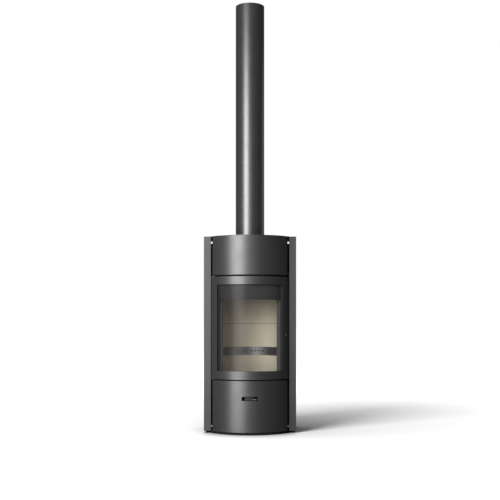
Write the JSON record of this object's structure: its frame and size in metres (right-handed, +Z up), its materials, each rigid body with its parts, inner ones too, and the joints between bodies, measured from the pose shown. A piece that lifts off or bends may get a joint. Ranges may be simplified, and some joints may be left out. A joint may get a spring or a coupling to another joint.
{
  "type": "wood burning stove",
  "caption": "Free-standing wood burning stove with a curved glazed door, flat side wings, an ash drawer, an air control and a straight top flue pipe.",
  "frame": {"origin": "middle of the stove's bounding box at floor level", "axes": "+X to the right seen from the front, +Y to the rear (the door faces -Y), +Z up the flue pipe"},
  "size_m": [0.487, 0.43, 2.285],
  "materials": {
    "body_paint": "satin dark grey heat-resistant stove paint, slightly warm highlights",
    "pipe_paint": "fine matt grey heat-resistant paint on the flue pipe",
    "plinth_paint": "matt black paint",
    "firebox_steel": "matt black heat-resistant paint, lightly sooted",
    "vermiculite": "pressed vermiculite board, pale beige and slightly speckled",
    "cast_grate": "bare cast iron",
    "ceramic_glass": "clear glass-ceramic with a faint grey tint",
    "rope_gasket": "knitted glass-fibre rope",
    "tape_gasket": "black woven glass-fibre tape",
    "zinc_steel": "zinc-plated steel fasteners and fittings",
    "galvanised": "galvanised sheet"
  },
  "bodies": {
    "stove": {"plinth": "plinth_paint", "base_plate": "plinth_paint", "levelling_bolts": "zinc_steel", "pedestal": "firebox_steel", "firebox_floor": "firebox_steel", "firebox_shell": "firebox_steel", "firebox_front": "firebox_steel", "firebox_roof": "firebox_steel", "flue_collar": "firebox_steel", "flue_pipe": "pipe_paint", "cover_ring": "body_paint", "top_plate": "body_paint", "top_spacers": "firebox_steel", "upper_front_cover": "body_paint", "cover_brackets": "firebox_steel", "left_wing": "body_paint", "right_wing": "body_paint", "wing_brackets": "firebox_steel", "rear_panel": "body_paint", "rear_screws": "zinc_steel", "air_spigot": "galvanised", "left_jamb": "firebox_steel", "right_jamb": "firebox_steel", "air_wash_deflector": "firebox_steel", "lining_back_lower": "vermiculite", "lining_back_upper": "vermiculite", "lining_left": "vermiculite", "lining_right": "vermiculite", "hearth_brick": "vermiculite", "grate": "cast_grate", "baffle_lower": "vermiculite", "baffle_upper": "firebox_steel", "tertiary_air_band": "firebox_steel", "rear_air_duct": "galvanised", "ash_chute": "firebox_steel", "air_valve_box": "firebox_steel", "lever_pivot": "zinc_steel", "hinge_brackets": "firebox_steel", "hinge_pins": "zinc_steel", "latch_keeper": "firebox_steel", "drawer_runners": "zinc_steel"},
    "door": {"door_frame": "body_paint", "door_glass": "ceramic_glass", "glass_gasket": "tape_gasket", "door_gasket": "rope_gasket", "glass_clips": "zinc_steel", "clip_screws": "zinc_steel"},
    "latch": {"latch_spindle": "zinc_steel", "latch_hook": "zinc_steel"},
    "air_control": {"air_lever": "zinc_steel", "air_valve_disc": "zinc_steel", "lever_shield": "zinc_steel", "lever_tab": "zinc_steel"},
    "ash_drawer": {"lower_front": "body_paint", "drawer_box": "galvanised", "drawer_rails": "zinc_steel", "ash_pan": "galvanised", "pan_handle": "zinc_steel"}
  },
  "joints": [
    {"name": "door_hinge", "type": "hinge", "parent": "stove", "child": "door", "pos_m": [-0.19295, -0.10963, 0.5535], "axis": [0, 0, -1], "range_deg": [0, 110]},
    {"name": "latch_turn", "type": "hinge", "parent": "door", "child": "latch", "pos_m": [0.18185, -0.12084, 0.517], "axis": [-0.7738, 0.6334, 0], "range_deg": [0, 90]},
    {"name": "air_control_turn", "type": "hinge", "parent": "stove", "child": "air_control", "pos_m": [0, -0.097, 0.19], "axis": [0, 0, 1], "range_deg": [-31, 5]},
    {"name": "drawer_slide", "type": "slide", "parent": "stove", "child": "ash_drawer", "axis": [0, -1, 0], "range_m": [0, 0.28]}
  ]
}
